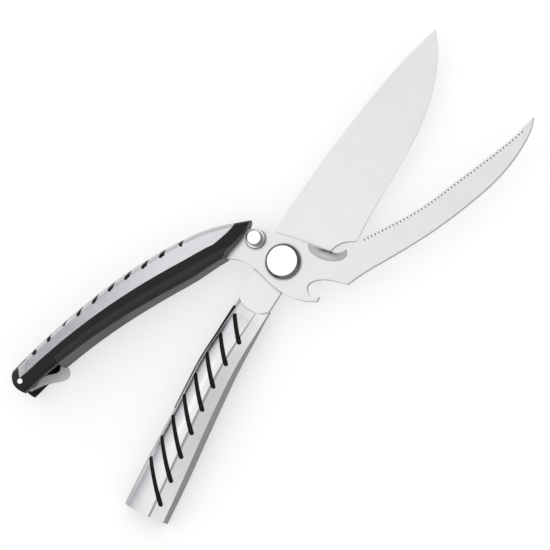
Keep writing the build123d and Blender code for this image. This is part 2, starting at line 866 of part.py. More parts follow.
# Grip along its under side
with BuildPart() as lower_handle_grip:
    add(lower_body.part)
    add(lower_grip_zone, mode=Mode.INTERSECT)
    add(catch_slot.part, mode=Mode.SUBTRACT)
    add(catch_pin.part, mode=Mode.SUBTRACT)

# Inlay: a strip under the crown with a rib in each slot
strip_start = lower_slot_start + slot_width
strip_end = lower_slot_start - lower_slot_pitch * (lower_slot_count - 1) - slot_width
lower_strip = [
    (row_at(lower_rows, y)[1] + side * inlay_half_width, y)
    for side, y in ((-1, strip_start), (1, strip_start), (1, strip_end), (-1, strip_end))
]
with BuildPart() as lower_ribs:
    add(lower_slots(slot_width - 2 * soft_gap))
    add(lower_form(rib_recess), mode=Mode.INTERSECT)
with BuildPart() as lower_handle_inlay:
    add(lower_form(cover_thickness))
    add(zone(Plane.XY, lower_strip, lower_rise), mode=Mode.INTERSECT)
    add(lower_ribs.part)
    add(lower_crown_zone, mode=Mode.INTERSECT)
    add(lower_form(cover_thickness + inlay_thickness, station_steps), mode=Mode.SUBTRACT)
    add(lower_tang_pocket.part, mode=Mode.SUBTRACT)

# Rivets through the core and the tang, hidden under the cover
with BuildPart() as lower_tang_rivets:
    add(round_holes(Plane.XY.offset(knife_base - rivet_reach), lower_rivet_places, rivet_radius - fit))
    extrude(amount=plate_thickness + 2 * rivet_reach)
with BuildPart() as lower_rivet_holes:
    add(round_holes(Plane.XY.offset(knife_base - rivet_reach), lower_rivet_places, rivet_radius))
    extrude(amount=plate_thickness + 2 * rivet_reach)

# Core of the knife half's handle
with BuildPart() as lower_handle_core:
    add(lower_body.part)
    add(lower_shell.part, mode=Mode.SUBTRACT)
    add(lower_handle_grip.part, mode=Mode.SUBTRACT)
    add(lower_handle_inlay.part, mode=Mode.SUBTRACT)
    add(lower_tang_pocket.part, mode=Mode.SUBTRACT)
    add(lower_rivet_holes.part, mode=Mode.SUBTRACT)
    add(catch_slot.part, mode=Mode.SUBTRACT)
    add(catch_pin.part, mode=Mode.SUBTRACT)

# Handle of the serrated half: whole form, cut along its oblique mouth and its end
upper_mouth_line = scaled(upper_mouth_shares, handle_bow, handle_reach)
upper_end_arc = scaled(upper_end_shares, handle_bow, handle_reach)
tail_line = scaled(tail_shares, handle_bow, handle_reach)
with BuildPart() as upper_tang_pocket:
    with BuildSketch(front_level(front_base - fit)):
        with BuildLine():
            Polyline(*root, close=True)
        make_face()
        with BuildLine():
            Polyline(*front_tang, close=True)
        make_face()
        offset(amount=fit, kind=Kind.INTERSECTION)
    extrude(amount=plate_thickness + 2 * fit)

with BuildPart() as upper_body:
    add(upper_form(0))
    with BuildSketch(front_level(-far)):
        with BuildLine():
            Spline(*upper_mouth_line)
            Polyline(
                upper_mouth_line[-1], (far, upper_mouth_line[-1][1]), (far, far), (-far, far),
                (-far, upper_mouth_line[0][1]), upper_mouth_line[0],
            )
        make_face()
    extrude(amount=2 * far, mode=Mode.SUBTRACT)
    with BuildSketch(front_level(-far)):
        with BuildLine():
            ThreePointArc(*upper_end_arc)
            Polyline(
                upper_end_arc[2], (far, upper_end_arc[2][1]), (far, -2 * far), (-far, -2 * far),
                (-far, upper_end_arc[0][1]), upper_end_arc[0],
            )
        make_face()
    extrude(amount=2 * far, mode=Mode.SUBTRACT)

tail_zone = zone(
    front_level(-far), [*tail_line, (far, -2 * far), (-far, -2 * far)], 2 * far
)
cover_front_line = scaled(cover_front_shares, handle_bow, handle_reach)
with BuildPart() as upper_cover_cut:
    add(upper_cover_zone)
    with BuildSketch(front_level(-far)):
        with BuildLine():
            Spline(*cover_front_line)
            Polyline(
                cover_front_line[-1], (far, cover_front_line[-1][1]), (far, far), (-far, far),
                (-far, cover_front_line[0][1]), cover_front_line[0],
            )
        make_face()
    extrude(amount=2 * far, mode=Mode.SUBTRACT)
    add(tail_zone, mode=Mode.SUBTRACT)
with BuildPart() as upper_shell:
    add(upper_body.part)
    add(upper_cover_cut.part, mode=Mode.INTERSECT)
    add(upper_form(cover_thickness), mode=Mode.SUBTRACT)

# Steel cover of the serrated half's handle
with BuildPart() as upper_handle_cover:
    add(upper_shell.part)
    add(upper_slots(slot_width), mode=Mode.SUBTRACT)

# Slot of the latch lever and the recess over it, open to the inner side
latch_outline = scaled(latch_slot_shares, handle_bow, handle_reach)
recess_outline = scaled(recess_shares, handle_bow, handle_reach)
with BuildPart() as latch_space:
    add(zone(front_level(latch_slot_base), latch_outline, latch_slot_height))
    add(zone(front_level(latch_slot_base), recess_outline, recess_height))

# Grip along the inner side, as far as the latch
with BuildPart() as upper_grip_block:
    add(upper_grip_zone)
    with BuildSketch(front_level(-far)):
        with Locations((0, -handle_reach * grip_end_share)):
            Rectangle(2 * far, far, align=(Align.CENTER, Align.MAX))
    extrude(amount=2 * far, mode=Mode.SUBTRACT)
with BuildPart() as upper_handle_grip:
    add(upper_body.part)
    add(upper_grip_block.part, mode=Mode.INTERSECT)
    add(upper_tang_pocket.part, mode=Mode.SUBTRACT)
    add(latch_space.part, mode=Mode.SUBTRACT)

# Inlay: a strip under the crown with a rib in each slot
with BuildPart() as upper_ribs:
    add(upper_slots(slot_width - 2 * soft_gap))
    add(upper_form(rib_recess), mode=Mode.INTERSECT)
upper_strip_start = upper_slot_start + slot_width
upper_strip_end = upper_slot_start - upper_slot_pitch * (upper_slot_count - 1) - slot_width
with BuildPart() as upper_handle_inlay:
    add(upper_form(cover_thickness))
    with BuildSketch(front_level(front_middle)):
        with Locations((0, upper_strip_end)):
            Rectangle(2 * far, upper_strip_start - upper_strip_end, align=(Align.CENTER, Align.MIN))
    extrude(amount=inlay_half_width, both=True, mode=Mode.INTERSECT)
    add(upper_ribs.part)
    add(upper_cover_zone, mode=Mode.INTERSECT)
    add(upper_form(cover_thickness + inlay_thickness), mode=Mode.SUBTRACT)

# Rivets through the core and the tang, hidden under the cover
with BuildPart() as upper_tang_rivets:
    add(round_holes(front_level(front_base - rivet_reach), upper_rivet_places, rivet_radius - fit))
    extrude(amount=plate_thickness + 2 * rivet_reach)
with BuildPart() as upper_rivet_holes:
    add(round_holes(front_level(front_base - rivet_reach), upper_rivet_places, rivet_radius))
    extrude(amount=plate_thickness + 2 * rivet_reach)

# Core of the serrated half's handle, with the bolster in front
with BuildPart() as upper_core_whole:
    add(upper_body.part)
    add(upper_shell.part, mode=Mode.SUBTRACT)
    add(upper_grip_block.part, mode=Mode.SUBTRACT)
with BuildPart() as upper_handle_core:
    add(upper_core_whole.part)
    add(tail_zone, mode=Mode.SUBTRACT)
    add(upper_handle_inlay.part, mode=Mode.SUBTRACT)
    add(upper_tang_pocket.part, mode=Mode.SUBTRACT)
    add(upper_rivet_holes.part, mode=Mode.SUBTRACT)
    add(latch_space.part, mode=Mode.SUBTRACT)

# Tail block, which carries the latch
latch_pivot = [(latch_rivet_x, latch_rivet_y)]
with BuildPart() as tail_block:
    add(upper_body.part)
    add(tail_zone, mode=Mode.INTERSECT)
    add(latch_space.part, mode=Mode.SUBTRACT)
    add(round_holes(front_level(-far), latch_pivot, latch_rivet_radius))
    extrude(amount=2 * far, mode=Mode.SUBTRACT)

# Latch rivet with a head on each side
tail_half = row_at(upper_rows, latch_rivet_y)[3]
with BuildPart() as latch_rivet:
    add(round_holes(front_level(front_middle - tail_half), latch_pivot, latch_rivet_radius - fit))
    extrude(amount=2 * tail_half)
    add(round_holes(front_level(front_middle + tail_half), latch_pivot, latch_head_radius))
    extrude(amount=latch_head_height)
    add(round_holes(front_level(front_middle - tail_half), latch_pivot, latch_head_radius))
    extrude(amount=-latch_head_height)
    chamfer(latch_rivet.edges().group_by(Axis.Z)[-1], latch_head_height / 2)

# Latch lever, put away along the handle, on its friction washer
with BuildPart() as latch_lever:
    with BuildSketch(front_level(latch_base)):
        with BuildLine():
            Spline(*lever_back)
            Spline(*lever_front)
            Line(lever_front[-1], lever_back[0])
        make_face()
        with Locations(latch_pivot[0]):
            Circle(latch_hub_radius)
            Circle(latch_rivet_radius, mode=Mode.SUBTRACT)
    extrude(amount=latch_thickness)
with BuildPart() as latch_washer:
    with BuildSketch(front_level(latch_top)):
        with Locations(latch_pivot[0]):
            Circle(latch_washer_radius)
            Circle(latch_rivet_radius, mode=Mode.SUBTRACT)
    extrude(amount=latch_gap)

os.makedirs("parts", exist_ok=True)
pieces = {
    "knife_blade": knife_blade,
    "pivot_bolt": pivot_bolt,
    "thrust_washer": thrust_washer,
    "pivot_cap": pivot_cap,
    "torsion_spring": torsion_spring,
    "lower_handle_cover": lower_handle_cover,
    "lower_handle_core": lower_handle_core,
    "lower_handle_inlay": lower_handle_inlay,
    "lower_handle_grip": lower_handle_grip,
    "lower_tang_rivets": lower_tang_rivets,
    "catch_pin": catch_pin,
    "serrated_blade": serrated_blade,
    "upper_handle_cover": upper_handle_cover,
    "upper_handle_core": upper_handle_core,
    "upper_handle_inlay": upper_handle_inlay,
    "upper_handle_grip": upper_handle_grip,
    "upper_tang_rivets": upper_tang_rivets,
    "tail_block": tail_block,
    "latch_rivet": latch_rivet,
    "latch_washer": latch_washer,
    "button_collar": button_collar,
    "button_spring": button_spring,
    "latch_lever": latch_lever,
    "release_button": release_button,
    "stop_ring": stop_ring,
}
for piece_name, piece in pieces.items():
    piece.part.label = piece_name
    export_step(piece.part, f"parts/{piece_name}.step")
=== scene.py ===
"""Kitchen shears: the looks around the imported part. Metres, in the part's own frame."""

import math

import bmesh
import bpy
from mathutils import Matrix, Vector


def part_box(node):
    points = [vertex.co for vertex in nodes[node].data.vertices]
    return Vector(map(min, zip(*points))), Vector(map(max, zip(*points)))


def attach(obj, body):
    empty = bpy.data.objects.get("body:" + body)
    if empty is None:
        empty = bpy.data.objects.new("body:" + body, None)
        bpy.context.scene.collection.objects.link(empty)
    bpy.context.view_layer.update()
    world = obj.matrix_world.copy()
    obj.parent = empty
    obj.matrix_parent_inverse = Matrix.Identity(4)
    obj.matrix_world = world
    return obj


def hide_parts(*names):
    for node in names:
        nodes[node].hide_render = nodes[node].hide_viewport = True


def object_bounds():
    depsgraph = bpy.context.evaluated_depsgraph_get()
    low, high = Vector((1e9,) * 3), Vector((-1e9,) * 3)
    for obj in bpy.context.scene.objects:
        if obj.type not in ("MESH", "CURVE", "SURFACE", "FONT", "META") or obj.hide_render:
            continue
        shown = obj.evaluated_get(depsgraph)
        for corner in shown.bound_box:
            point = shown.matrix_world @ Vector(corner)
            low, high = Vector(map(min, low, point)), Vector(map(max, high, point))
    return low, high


MM = 0.001
DOWN = Vector((0, 0, -1))
RIGHTWARD = Vector((1, 0, 0))
WHITE = (1, 1, 1, 1)

# The serrated half stands open at this angle
OPEN_ANGLE = math.radians(28.0)

# The photograph's frame
IMAGE_WIDTH = 550
MM_PER_PIXEL = 0.46
CAP_TOP_PIXEL = (281.9, 260.6)
SENSOR_MM = 36.0
LENS_MM = 213.0
TILT = math.radians(15.5)
TILT_HEADING = math.radians(-4.3)
UP_HEADING = math.radians(123.6)
CLIP_SHARES = (0.01, 10)

# Studio light: each lamp has a name, a place, a width and a power in watts
ROOM_LIGHT = 0.95
HORIZON_SHADE = (0.46, 0.46, 0.48)
HORIZON_END = 0.10
CEILING_START = 0.97
LAMPS = (
    ("key_lamp", Vector((-0.32, -0.05, 1.0)), 0.42, 0.09),
    ("fill_lamp", Vector((-0.9, 0.5, 0.6)), 0.5, 0.10),
)

# Floor
FLOOR_HALF = 3.0
FLOOR_DROP = 0.1 * MM
FLOOR_WHITE = 0.50
FLOOR_SHADES = ((0.54, 0.54, 0.54), (0.57, 0.57, 0.57))
FLOOR_ROUGH = 0.9
FLOOR_GRAIN = (400, 400, 400)
FLOOR_GRAIN_DETAIL = 5.0
FLOOR_GRAIN_HEIGHT = 0.02 * MM
FLOOR_GRAIN_STRENGTH = 0.3

# How the flat top of the serrated blade and the points of its teeth are found
WELD_REACH = 0.001 * MM
TOP_BAND = 0.01 * MM
FLAT_NORMAL = 0.9
POINT_ANGLE = math.radians(125)

# Ground teeth of the serrated blade
GULLET_DEPTH = 2.2 * MM
GULLET_LENGTH = 1.5 * MM
GULLET_MOUTH = 0.6 * MM
GULLET_WIDTH_SHARE = 0.42
GULLET_TIP_SINK = 0.2
TEETH_START = 30.0 * MM
TOOTH_CHORD = (1.2 * MM, 2.4 * MM)
CUT_OVERRUN = 0.3 * MM

# Hollow ground beside the bone notch, in the serrated half's own directions
HOLLOW_MIDDLE = (5.6 * MM, 20.6 * MM)
HOLLOW_AXES = (5.0 * MM, 9.6 * MM, 1.6 * MM)
HOLLOW_TURN = math.radians(-46)
HOLLOW_RAISE = 0.2 * MM
HOLLOW_RIDGE = 0.08 * MM
HOLLOW_RIDGES = 48
HOLLOW_SEGMENTS = (HOLLOW_RIDGES * 2, 24)

# Ends of the ribs in the left handle's cover, in the serrated half's own directions
RIB_END_COUNT = 10
RIB_END_AXES = (1.05 * MM, 1.5 * MM, 0.3 * MM)
RIB_END_SEGMENTS = (24, 12)
RIB_END_TURN = math.radians(-52)
RIB_END_START = -38.6 * MM
RIB_END_STOP = -122.0 * MM
RIB_END_BEND = 1.2 * MM
RIB_END_INSET = 2.5 * MM
RIB_END_STEP = 0.1 * MM
RIB_END_REACH = -40.0 * MM

# Tip of the left handle's cover beside the rivet, in the serrated half's own directions
TIP_OUTER = ((-20.5 * MM, -126.5 * MM), (-19.3 * MM, -132.1 * MM))
TIP_INNER = ((-13.9 * MM, -129.6 * MM), (-13.4 * MM, -133.2 * MM))
TIP_GROUND = ("tail_block", "upper_handle_core", "upper_handle_cover")
TIP_STEPS = 14
TIP_THICKNESS = 0.5 * MM
TIP_RAISE = 0.12 * MM

# Black edge of the lower handle's core, beside its steel cover
CORE_EDGE_START = -29.0 * MM
CORE_EDGE_END = -84.0 * MM
CORE_EDGE_STATIONS = 26
CORE_EDGE_CORNERS = 12
CORE_EDGE_SMOOTHINGS = 3
CORE_EDGE_RADIUS = (1.0 * MM, 0.45 * MM)
CORE_EDGE_LOW = 3.0 * MM
CORE_EDGE_SHIFT = Vector((0.3, 0, -0.25))
CORE_EDGE_STEP = 0.1 * MM

# Range in which the noise of a finish mostly lies, and its roughness
NOISE_RANGE = (0.3, 0.7)
NOISE_ROUGHNESS = 0.6

# Edges rounded for the light alone, and painted shade in the inner corners of the brushed steels
ROUNDING_SAMPLES = 4
CORNER_SAMPLES = 6
CORNER_REACH = 1.3 * MM
CORNER_SHARE = 0.45
CORNER_RANGE = (0.45, 1.0)

# Headings of the drawn grain
ALONG_KNIFE = math.radians(90)
ALONG_FRONT = math.radians(90) - OPEN_ANGLE

# Brushed steels: tone, heading, roughness, share of tone kept on walls under painted shade, slopes
# that the painted shade darkens
BLADE_SLOPE = (0.25, 0.75)
COVER_SLOPE = (0.30, 0.92)
COVER_SHADE = (0.86, 0.86, 0.88)
BRUSHED_STEELS = {
    "knife_steel": ((0.79, 0.79, 0.80), ALONG_KNIFE, 0.30, 0.45, BLADE_SLOPE),
    "serrated_steel": ((0.77, 0.77, 0.78), ALONG_FRONT, 0.30, 0.38, BLADE_SLOPE),
    "lower_cover_steel": (COVER_SHADE, ALONG_KNIFE, 0.22, 0.16, COVER_SLOPE),
    "upper_cover_steel": (COVER_SHADE, ALONG_FRONT, 0.22, 0.24, COVER_SLOPE),
}
BRUSHED_LINES = (90, 4200, 90)
BRUSHED_LINES_DETAIL = 3.0
BRUSHED_PATCHES = (70, 70, 70)
BRUSHED_PATCHES_DETAIL = 6.0
BRUSHED_PATCHES_SHARE = 0.4
BRUSHED_TONES = (0.90, 1.05)
BRUSHED_ROUGH_RANGE = (-0.05, 0.07)
BRUSHED_RELIEF = 0.006 * MM
BRUSHED_ROUNDING = 0.12 * MM

# Polished steels: tone and roughness
POLISHED_STEELS = {
    "bright_steel": ((0.93, 0.93, 0.935), 0.14),
    "spring_steel": ((0.55, 0.55, 0.55), 0.28),
    "rivet_steel": ((0.85, 0.85, 0.85), 0.22),
}
POLISHED_MARKS = (900, 900, 900)
POLISHED_MARKS_DETAIL = 6.0
POLISHED_DARK = 0.95
# Painted shade on the steep walls of the polished steels: share of tone kept, and slopes that it
# darkens
POLISHED_WALL_SHARE = 0.15
POLISHED_SLOPE = (0.6, 0.985)
POLISHED_ROUGH_RANGE = (-0.03, 0.05)
POLISHED_RELIEF = 0.002 * MM
POLISHED_ROUNDING = 0.2 * MM

# Cast metal of the latch lever: tone and roughness
CAST_METALS = {
    "lever_metal": ((0.86, 0.86, 0.87), 0.30),
}
CAST_METALLIC = 0.25
CAST_GRAIN = (2600, 2600, 2600)
CAST_GRAIN_DETAIL = 3.0
CAST_DARK = 0.94
# Painted shade on the steep walls of the cast metal: share of tone kept, and slopes that it darkens
CAST_WALL_SHARE = 0.35
CAST_SLOPE = (0.3, 0.9)
CAST_ROUGH_RANGE = (-0.05, 0.08)
CAST_RELIEF = 0.006 * MM
CAST_ROUNDING = 0.15 * MM

# Plastics, a little blue: darkest and lightest tone, roughness, height of grain, shine
PLASTICS = {
    "washer_plastic": (0.75, 0.82, 0.45, 0.004 * MM, 0.4),
    "black_core": (0.008, 0.012, 0.36, 0.006 * MM, 0.22),
    "black_inlay": (0.006, 0.010, 0.50, 0.004 * MM, 0.15),
    "black_grip": (0.012, 0.019, 0.40, 0.008 * MM, 0.35),
}
PLASTIC_BLUE = 1.2
PLASTIC_GRAIN = (3200, 3200, 3200)
PLASTIC_GRAIN_DETAIL = 2.0
PLASTIC_PATCHES = (45, 45, 45)
PLASTIC_PATCHES_DETAIL = 5.0
PLASTIC_ROUGH_RANGE = (-0.07, 0.07)
PLASTIC_ROUNDING = 0.25 * MM

NODE_FINISH = {
    "knife_blade": "knife_steel",
    "serrated_blade": "serrated_steel",
    "pivot_bolt": "bright_steel",
    "pivot_cap": "bright_steel",
    "release_button": "bright_steel",
    "button_collar": "bright_steel",
    "stop_ring": "bright_steel",
    "thrust_washer": "washer_plastic",
    "latch_washer": "washer_plastic",
    "torsion_spring": "spring_steel",
    "button_spring": "spring_steel",
    "lower_handle_cover": "lower_cover_steel",
    "upper_handle_cover": "upper_cover_steel",
    "lower_handle_core": "black_core",
    "upper_handle_core": "black_core",
    "tail_block": "black_core",
    "lower_handle_inlay": "black_inlay",
    "upper_handle_inlay": "black_inlay",
    "lower_handle_grip": "black_grip",
    "upper_handle_grip": "black_grip",
    "lower_tang_rivets": "rivet_steel",
    "upper_tang_rivets": "rivet_steel",
    "latch_rivet": "rivet_steel",
    "catch_pin": "rivet_steel",
    "latch_lever": "lever_metal",
}

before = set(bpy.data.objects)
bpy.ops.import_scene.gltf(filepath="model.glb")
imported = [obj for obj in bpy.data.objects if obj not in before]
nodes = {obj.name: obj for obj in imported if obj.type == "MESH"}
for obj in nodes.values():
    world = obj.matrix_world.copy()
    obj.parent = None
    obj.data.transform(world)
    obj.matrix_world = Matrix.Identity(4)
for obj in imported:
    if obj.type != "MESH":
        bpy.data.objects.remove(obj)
cad_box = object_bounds()


def front_point(across, along, height):
    """A place in the serrated half's own directions, as a place in the part's frame."""
    turn = Matrix.Rotation(-OPEN_ANGLE, 4, "Z")
    return turn @ Vector((across, along, height))


def between(first, second, share):
    """A value part of the way from one to another."""
    return first + (second - first) * share


def new_object(name, data):
    """An object of its own in the scene."""
    made = bpy.data.objects.new(name, data)
    bpy.context.scene.collection.objects.link(made)
    return made


def new_mesh(name, build):
    """A mesh from a finished build."""
    mesh = bpy.data.meshes.new(name)
    build.to_mesh(mesh)
    build.free()
    return mesh


def new_piece(name, mesh, body, finish, *hidden):
    """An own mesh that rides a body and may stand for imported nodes."""
    piece = new_object(name, mesh)
    mesh.materials.clear()
    mesh.materials.append(materials[finish])
    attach(piece, body)
    if hidden:
        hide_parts(*hidden)
    return piece


def top_outline(mesh, top):
    """Neighbours of each vertex along the outlines of a plate's top face."""
    build = bmesh.new()
    build.from_mesh(mesh)
    bmesh.ops.remove_doubles(build, verts=build.verts, dist=WELD_REACH)
    beside = {}
    for edge in build.edges:
        on_top = all(abs(vert.co.z - top) <= TOP_BAND for vert in edge.verts)
        if not on_top or len(edge.link_faces) != 2:
            continue
        flats = [abs(face.normal.z) > FLAT_NORMAL for face in edge.link_faces]
        if flats.count(True) == 1:
            first, second = edge.verts
            beside.setdefault(first.index, []).append(second.index)
            beside.setdefault(second.index, []).append(first.index)
    places = {vert.index: vert.co.copy() for vert in build.verts}
    build.free()
    return beside, places


def tooth_points(top):
    """Places where two tooth gullets meet in a point, from the pivot to the tip."""
    beside, places = top_outline(nodes["serrated_blade"].data, top)
    along = front_point(0, 1, 0)
    points = []
    for index, pair in beside.items():
        if len(pair) != 2:
            continue
        here = places[index]
        turn = (places[pair[0]] - here).angle(places[pair[1]] - here)
        if turn < POINT_ANGLE and here.dot(along) > TEETH_START:
            points.append(here)
    return sorted(points, key=lambda point: point.dot(along))


def make_gullet(build, left, right, inward):
    """Wedge that grinds one gullet: deep at the blade's edge, shallow inside."""
    middle = (left + right) / 2
    half = (right - left) * GULLET_WIDTH_SHARE
    mouth = middle - inward * GULLET_MOUTH
    tip = middle + inward * (GULLET_LENGTH + GULLET_MOUTH)
    raised = Vector((0, 0, CUT_OVERRUN))
    deep = Vector((0, 0, GULLET_DEPTH))
    corners = [
        mouth - half + raised,
        mouth + half + raised,
        tip + raised,
        mouth - deep,
        tip - raised * GULLET_TIP_SINK,
    ]
    made = [build.verts.new(corner) for corner in corners]
    bmesh.ops.convex_hull(build, input=made)


def make_hollow(build, top):
    """Ridged ellipsoid that grinds the hollow beside the bone notch."""
    around, upward = HOLLOW_SEGMENTS
    made = bmesh.ops.create_uvsphere(build, u_segments=around, v_segments=upward, radius=1.0)
    turn = Matrix.Rotation(-OPEN_ANGLE + HOLLOW_TURN, 4, "Z")
    middle = front_point(*HOLLOW_MIDDLE, top + HOLLOW_RAISE)
    for vert in made["verts"]:
        angle = math.atan2(vert.co.y, vert.co.x)
        ridge = HOLLOW_RIDGE * math.cos(angle * HOLLOW_RIDGES)
        place = Vector([part * half for part, half in zip(vert.co, HOLLOW_AXES)])
        vert.co = middle + turn @ place + Vector((0, 0, ridge))


def make_grinding(top):
    """All that is ground out of the serrated blade's top face."""
    across = front_point(1, 0, 0)
    points = tooth_points(top)
    shortest, longest = TOOTH_CHORD
    build = bmesh.new()
    for left, right in zip(points, points[1:]):
        step = right - left
        if shortest < step.length < longest:
            inward = Vector((step.y, -step.x, 0)).normalized()
            if inward.dot(across) < 0:
                inward = -inward
            make_gullet(build, left, right, inward)
    make_hollow(build, top)
    return new_mesh("grinding", build)


def make_serrated_blade():
    """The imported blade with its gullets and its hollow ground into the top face."""
    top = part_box("serrated_blade")[1].z
    cutter = new_object("grinding", make_grinding(top))
    blank = new_object("serrated_blank", nodes["serrated_blade"].data.copy())
    cut = blank.modifiers.new("ground", "BOOLEAN")
    cut.operation = "DIFFERENCE"
    cut.solver = "EXACT"
    cut.use_self = True
    cut.object = cutter
    graph = bpy.context.evaluated_depsgraph_get()
    mesh = bpy.data.meshes.new_from_object(blank.evaluated_get(graph))
    mesh.name = "serrated_blade_ground"
    for spare in (blank, cutter):
        bpy.data.objects.remove(spare)
    piece = new_piece(
        "serrated_blade_ground", mesh, "serrated_half", "serrated_steel", "serrated_blade"
    )


def outer_place(cover, along, high):
    """Spot on the left handle's cover a little inside its outer edge, met from above."""
    across = RIB_END_REACH
    while across < 0:
        if cover.ray_cast(front_point(across, along, high), DOWN)[0]:
            return cover.ray_cast(front_point(across + RIB_END_INSET, along, high), DOWN)
        across += RIB_END_STEP
    return False, None, None, None


def make_rib_ends():
    """Rounded ends of the black ribs, flush in the left handle's cover."""
    cover = nodes["upper_handle_cover"]
    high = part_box("upper_handle_cover")[1].z + CUT_OVERRUN
    around, upward = RIB_END_SEGMENTS
    build = bmesh.new()
    for number in range(RIB_END_COUNT):
        share = number / (RIB_END_COUNT - 1)
        bend = RIB_END_BEND * 4 * share * (1 - share)
        along = between(RIB_END_START, RIB_END_STOP, share) - bend
        hit, place, normal, _ = outer_place(cover, along, high)
        if not hit:
            continue
        facing = normal.to_track_quat("Z", "Y").to_matrix().to_4x4()
        turn = facing @ Matrix.Rotation(RIB_END_TURN, 4, "Z")
        made = bmesh.ops.create_uvsphere(build, u_segments=around, v_segments=upward, radius=1.0)
        for vert in made["verts"]:
            shaped = Vector([part * half for part, half in zip(vert.co, RIB_END_AXES)])
            vert.co = place + turn @ shaped
    mesh = new_mesh("upper_rib_ends", build)
    mesh.shade_smooth()
    piece = new_piece("upper_rib_ends", mesh, "serrated_half", "black_inlay")


def tip_ground(across, along):
    """Highest point under the cover's tip at a place of the serrated half."""
    start = front_point(across, along, cad_box[1][2] + CUT_OVERRUN)
    hits = [nodes[name].ray_cast(start, DOWN) for name in TIP_GROUND]
    return max((hit[1] for hit in hits if hit[0]), key=lambda place: place.z, default=None)


def tip_rows():
    """Places under the cover's tip, in rows from the cover's end to the rivet."""
    rows = []
    for row in range(TIP_STEPS + 1):
        down = row / TIP_STEPS
        left = [between(start, end, down) for start, end in zip(*TIP_OUTER)]
        right = [between(start, end, down) for start, end in zip(*TIP_INNER)]
        line = []
        for column in range(TIP_STEPS + 1):
            share = column / TIP_STEPS
            spot = [between(outer, inner, share) for outer, inner in zip(left, right)]
            line.append(tip_ground(*spot))
        rows.append(line)
    return rows


def add_sheet(build, rows, lift):
    """One side of the tip: the rows of places, lifted."""
    raised = Vector((0, 0, lift))
    return [[build.verts.new(place + raised) if place else None for place in line] for line in rows]


def make_cover_tip():
    """Thin steel point that carries the left handle's cover on to the rivet."""
    rows = tip_rows()
    build = bmesh.new()
    sheets = [add_sheet(build, rows, lift) for lift in (TIP_RAISE, TIP_RAISE - TIP_THICKNESS)]
    for sheet in sheets:
        for upper, lower in zip(sheet, sheet[1:]):
            for column in range(TIP_STEPS):
                corners = (upper[column], upper[column + 1], lower[column + 1], lower[column])
                if all(corners):
                    build.faces.new(corners)
    rims = [edge for edge in build.edges if len(edge.link_faces) == 1]
    bmesh.ops.bridge_loops(build, edges=rims)
    loose = [vert for vert in build.verts if not vert.link_faces]
    bmesh.ops.delete(build, geom=loose, context="VERTS")
    bmesh.ops.recalc_face_normals(build, faces=build.faces)
    mesh = new_mesh("upper_cover_tip", build)
    piece = new_piece("upper_cover_tip", mesh, "serrated_half", "upper_cover_steel")


def seen_across(place):
    """How far to the right a place lies as the tilted camera sees it."""
    return place.x - place.z * math.tan(TILT)


def left_ridge(cover, along):
    """Upper left rim of the lower handle at a place along it, met from the left."""
    low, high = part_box("lower_handle_cover")
    outside = low.x * 2
    best = None
    height = CORE_EDGE_LOW
    while height < high.z:
        hit, place, _, _ = cover.ray_cast(Vector((outside, along, height)), RIGHTWARD)
        if hit and (best is None or seen_across(place) < seen_across(best)):
            best = place
        height += CORE_EDGE_STEP
    return best


def core_rims():
    """Smoothed run of places along the lower handle's upper left rim."""
    cover = nodes["lower_handle_cover"]
    last = CORE_EDGE_STATIONS - 1
    run = CORE_EDGE_END - CORE_EDGE_START
    rims = [left_ridge(cover, CORE_EDGE_START + run * number / last) for number in range(last + 1)]
    rims = [rim for rim in rims if rim]
    for _ in range(CORE_EDGE_SMOOTHINGS):
        inner = [(a + b * 2 + c) / 4 for a, b, c in zip(rims, rims[1:], rims[2:])]
        rims = [rims[0], *inner, rims[-1]]
    return rims


def make_core_edge():
    """Black core standing out beside the cover, thick at the neck and thin further down."""
    rims = core_rims()
    thick, thin = CORE_EDGE_RADIUS
    build = bmesh.new()
    rings = []
    for number, rim in enumerate(rims):
        radius = thick + (thin - thick) * number / (len(rims) - 1)
        middle = rim + CORE_EDGE_SHIFT * radius
        ring = []
        for corner in range(CORE_EDGE_CORNERS):
            angle = math.tau * corner / CORE_EDGE_CORNERS
            outward = Vector((math.cos(angle), 0, math.sin(angle)))
            ring.append(build.verts.new(middle + outward * radius))
        rings.append(ring)
    for lower, upper in zip(rings, rings[1:]):
        for corner in range(CORE_EDGE_CORNERS):
            after = (corner + 1) % CORE_EDGE_CORNERS
            build.faces.new((lower[corner], lower[after], upper[after], upper[corner]))
    build.faces.new(rings[0])
    build.faces.new(rings[-1])
    bmesh.ops.recalc_face_normals(build, faces=build.faces)
    mesh = new_mesh("lower_core_edge", build)
    mesh.shade_smooth()
    piece = new_piece("lower_core_edge", mesh, "knife_half", "black_inlay")


def make_camera():
    """Long lens above the cap, tilted and turned as the photograph was taken."""
    cap_top = Vector((0, 0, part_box("pivot_cap")[1].z))
    toward = Vector(
        (
            math.sin(TILT) * math.cos(TILT_HEADING),
            math.sin(TILT) * math.sin(TILT_HEADING),
            math.cos(TILT),
        )
    )
    up_hint = Vector((math.cos(UP_HEADING), math.sin(UP_HEADING), 0))
    right = up_hint.cross(toward).normalized()
    up = toward.cross(right)
    middle = IMAGE_WIDTH / 2
    aim = (
        cap_top
        - right * (CAP_TOP_PIXEL[0] - middle) * MM_PER_PIXEL * MM
        - up * (middle - CAP_TOP_PIXEL[1]) * MM_PER_PIXEL * MM
    )
    distance = IMAGE_WIDTH * MM_PER_PIXEL * MM * LENS_MM / SENSOR_MM
    data = bpy.data.cameras.new("photo_camera")
    data.lens = LENS_MM
    data.sensor_width = SENSOR_MM
    data.clip_start, data.clip_end = [distance * share for share in CLIP_SHARES]
    camera = new_object("photo_camera", data)
    turn = Matrix((right, up, toward)).transposed().to_4x4()
    camera.matrix_world = Matrix.Translation(aim + toward * distance) @ turn
    bpy.context.scene.camera = camera


